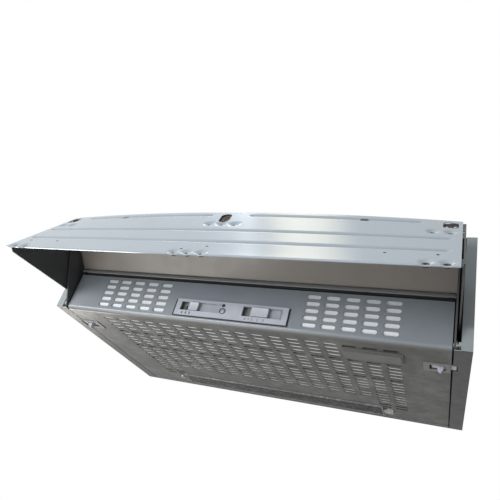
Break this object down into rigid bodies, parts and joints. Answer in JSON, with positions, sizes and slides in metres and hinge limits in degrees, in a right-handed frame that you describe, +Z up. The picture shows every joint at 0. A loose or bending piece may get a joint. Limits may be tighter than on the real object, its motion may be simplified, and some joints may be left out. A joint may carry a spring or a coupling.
{
  "type": "under cabinet range hood",
  "caption": "Under cabinet range hood with swing-out visor, hinged slotted filter panel, slide switches, lamp lens and top duct collar.",
  "frame": {"origin": "on the wall plane, at mid width, level with the underside of the casing", "axes": "+X to the right as a cook faces the hood, +Y towards the wall, +Z up; the front faces -Y"},
  "size_m": [0.6, 0.458, 0.204],
  "materials": {
    "casing_paint": "semi gloss light grey stove paint",
    "zinc_steel": "zinc plated",
    "panel_paint": "semi gloss blue grey stove paint",
    "visor_paint": "gloss pale grey stove paint",
    "dark_paint": "satin black paint",
    "guide_paint": "semi gloss warm grey paint",
    "black_plastic": "matte black",
    "light_plastic": "satin off-white",
    "grey_plastic": "satin light grey",
    "badge_metal": "satin",
    "diffuser_plastic": "dusty smoked translucent",
    "filter_fabric": "felt",
    "motor_metal": "lacquered laminations",
    "lamp_glass": "frosted",
    "lens_plastic": "clear lens"
  },
  "bodies": {
    "casing": {"side_panel_left": "casing_paint", "side_panel_right": "casing_paint", "back_panel": "casing_paint", "top_panel": "casing_paint", "body_screws": "zinc_steel", "pivot_pins": "zinc_steel", "pivot_washers": "zinc_steel", "pivot_nuts": "zinc_steel", "hinge_brackets": "zinc_steel", "hinge_pins": "zinc_steel", "fan_housing": "zinc_steel", "inlet_ring": "black_plastic", "motor_bracket": "zinc_steel", "motor": "motor_metal", "capacitor": "light_plastic", "outlet_collar": "black_plastic", "collar_flange": "black_plastic", "collar_screws": "zinc_steel", "flap_pin": "zinc_steel", "wiring_box": "light_plastic", "wiring_lid": "light_plastic", "terminal_block": "light_plastic", "cable_gland": "black_plastic", "lamp_reflector": "zinc_steel", "lamp_holders": "black_plastic", "lamps": "lamp_glass"},
    "grille_panel": {"front_fascia": "panel_paint", "grille_plate": "panel_paint", "panel_rails": "panel_paint", "filter_felt": "filter_fabric", "front_felts": "filter_fabric", "filter_wires": "zinc_steel", "lamp_diffuser": "diffuser_plastic", "diffuser_fixings": "zinc_steel", "badge_plate": "badge_metal", "latch_plates": "grey_plastic", "control_plate": "grey_plastic", "light_switch": "grey_plastic", "fan_switch": "grey_plastic", "pilot_lens": "lens_plastic", "pilot_lamp": "lens_plastic"},
    "latch_left": {"latch_left": "light_plastic"},
    "latch_right": {"latch_right": "light_plastic"},
    "light_slider": {"light_knob": "light_plastic", "light_slide": "light_plastic"},
    "fan_slider": {"fan_knob": "light_plastic", "fan_slide": "light_plastic"},
    "impeller": {"impeller": "light_plastic", "motor_shaft": "zinc_steel"},
    "flap_left": {"flap_left": "black_plastic"},
    "flap_right": {"flap_right": "black_plastic"},
    "swing_frame": {"arm_left": "dark_paint", "arm_right": "dark_paint", "air_guide": "guide_paint", "lip_bumpers": "black_plastic"},
    "visor": {"visor_sheet": "visor_paint", "wing_left": "dark_paint", "wing_right": "dark_paint", "visor_pins": "zinc_steel", "visor_catch": "black_plastic"}
  },
  "joints": [
    {"name": "visor_swing", "type": "hinge", "parent": "casing", "child": "swing_frame", "pos_m": [0, -0.31, 0.008], "axis": [1, 0, 0], "range_deg": [-28.5, 0]},
    {"name": "visor_fold", "type": "hinge", "parent": "swing_frame", "child": "visor", "pos_m": [0, -0.37472, 0.11839], "axis": [1, 0, 0], "range_deg": [0, 65.2]},
    {"name": "panel_hinge", "type": "hinge", "parent": "casing", "child": "grille_panel", "pos_m": [0, -0.016, 0.007], "axis": [1, 0, 0], "range_deg": [0, 75]},
    {"name": "light_slide", "type": "slide", "parent": "grille_panel", "child": "light_slider", "axis": [1, 0, 0], "range_m": [-0.013, 0]},
    {"name": "fan_slide", "type": "slide", "parent": "grille_panel", "child": "fan_slider", "axis": [1, 0, 0], "range_m": [-0.012, 0.017]},
    {"name": "latch_left_slide", "type": "slide", "parent": "grille_panel", "child": "latch_left", "axis": [1, 0, 0], "range_m": [0, 0.006], "stiffness_N_per_m": 150},
    {"name": "latch_right_slide", "type": "slide", "parent": "grille_panel", "child": "latch_right", "axis": [-1, 0, 0], "range_m": [0, 0.006], "stiffness_N_per_m": 150},
    {"name": "impeller_spin", "type": "hinge", "parent": "casing", "child": "impeller", "pos_m": [0, -0.106, 0.078], "axis": [1, 0, 0], "continuous": true},
    {"name": "flap_left_hinge", "type": "hinge", "parent": "casing", "child": "flap_left", "pos_m": [0, -0.076, 0.161], "axis": [0, 1, 0], "range_deg": [0, 75]},
    {"name": "flap_right_hinge", "type": "hinge", "parent": "casing", "child": "flap_right", "pos_m": [0, -0.076, 0.161], "axis": [0, -1, 0], "range_deg": [0, 75]}
  ],
  "couplings": [
    {"joint": "visor_fold", "follows": "visor_swing", "ratio": -2.2835}
  ]
}
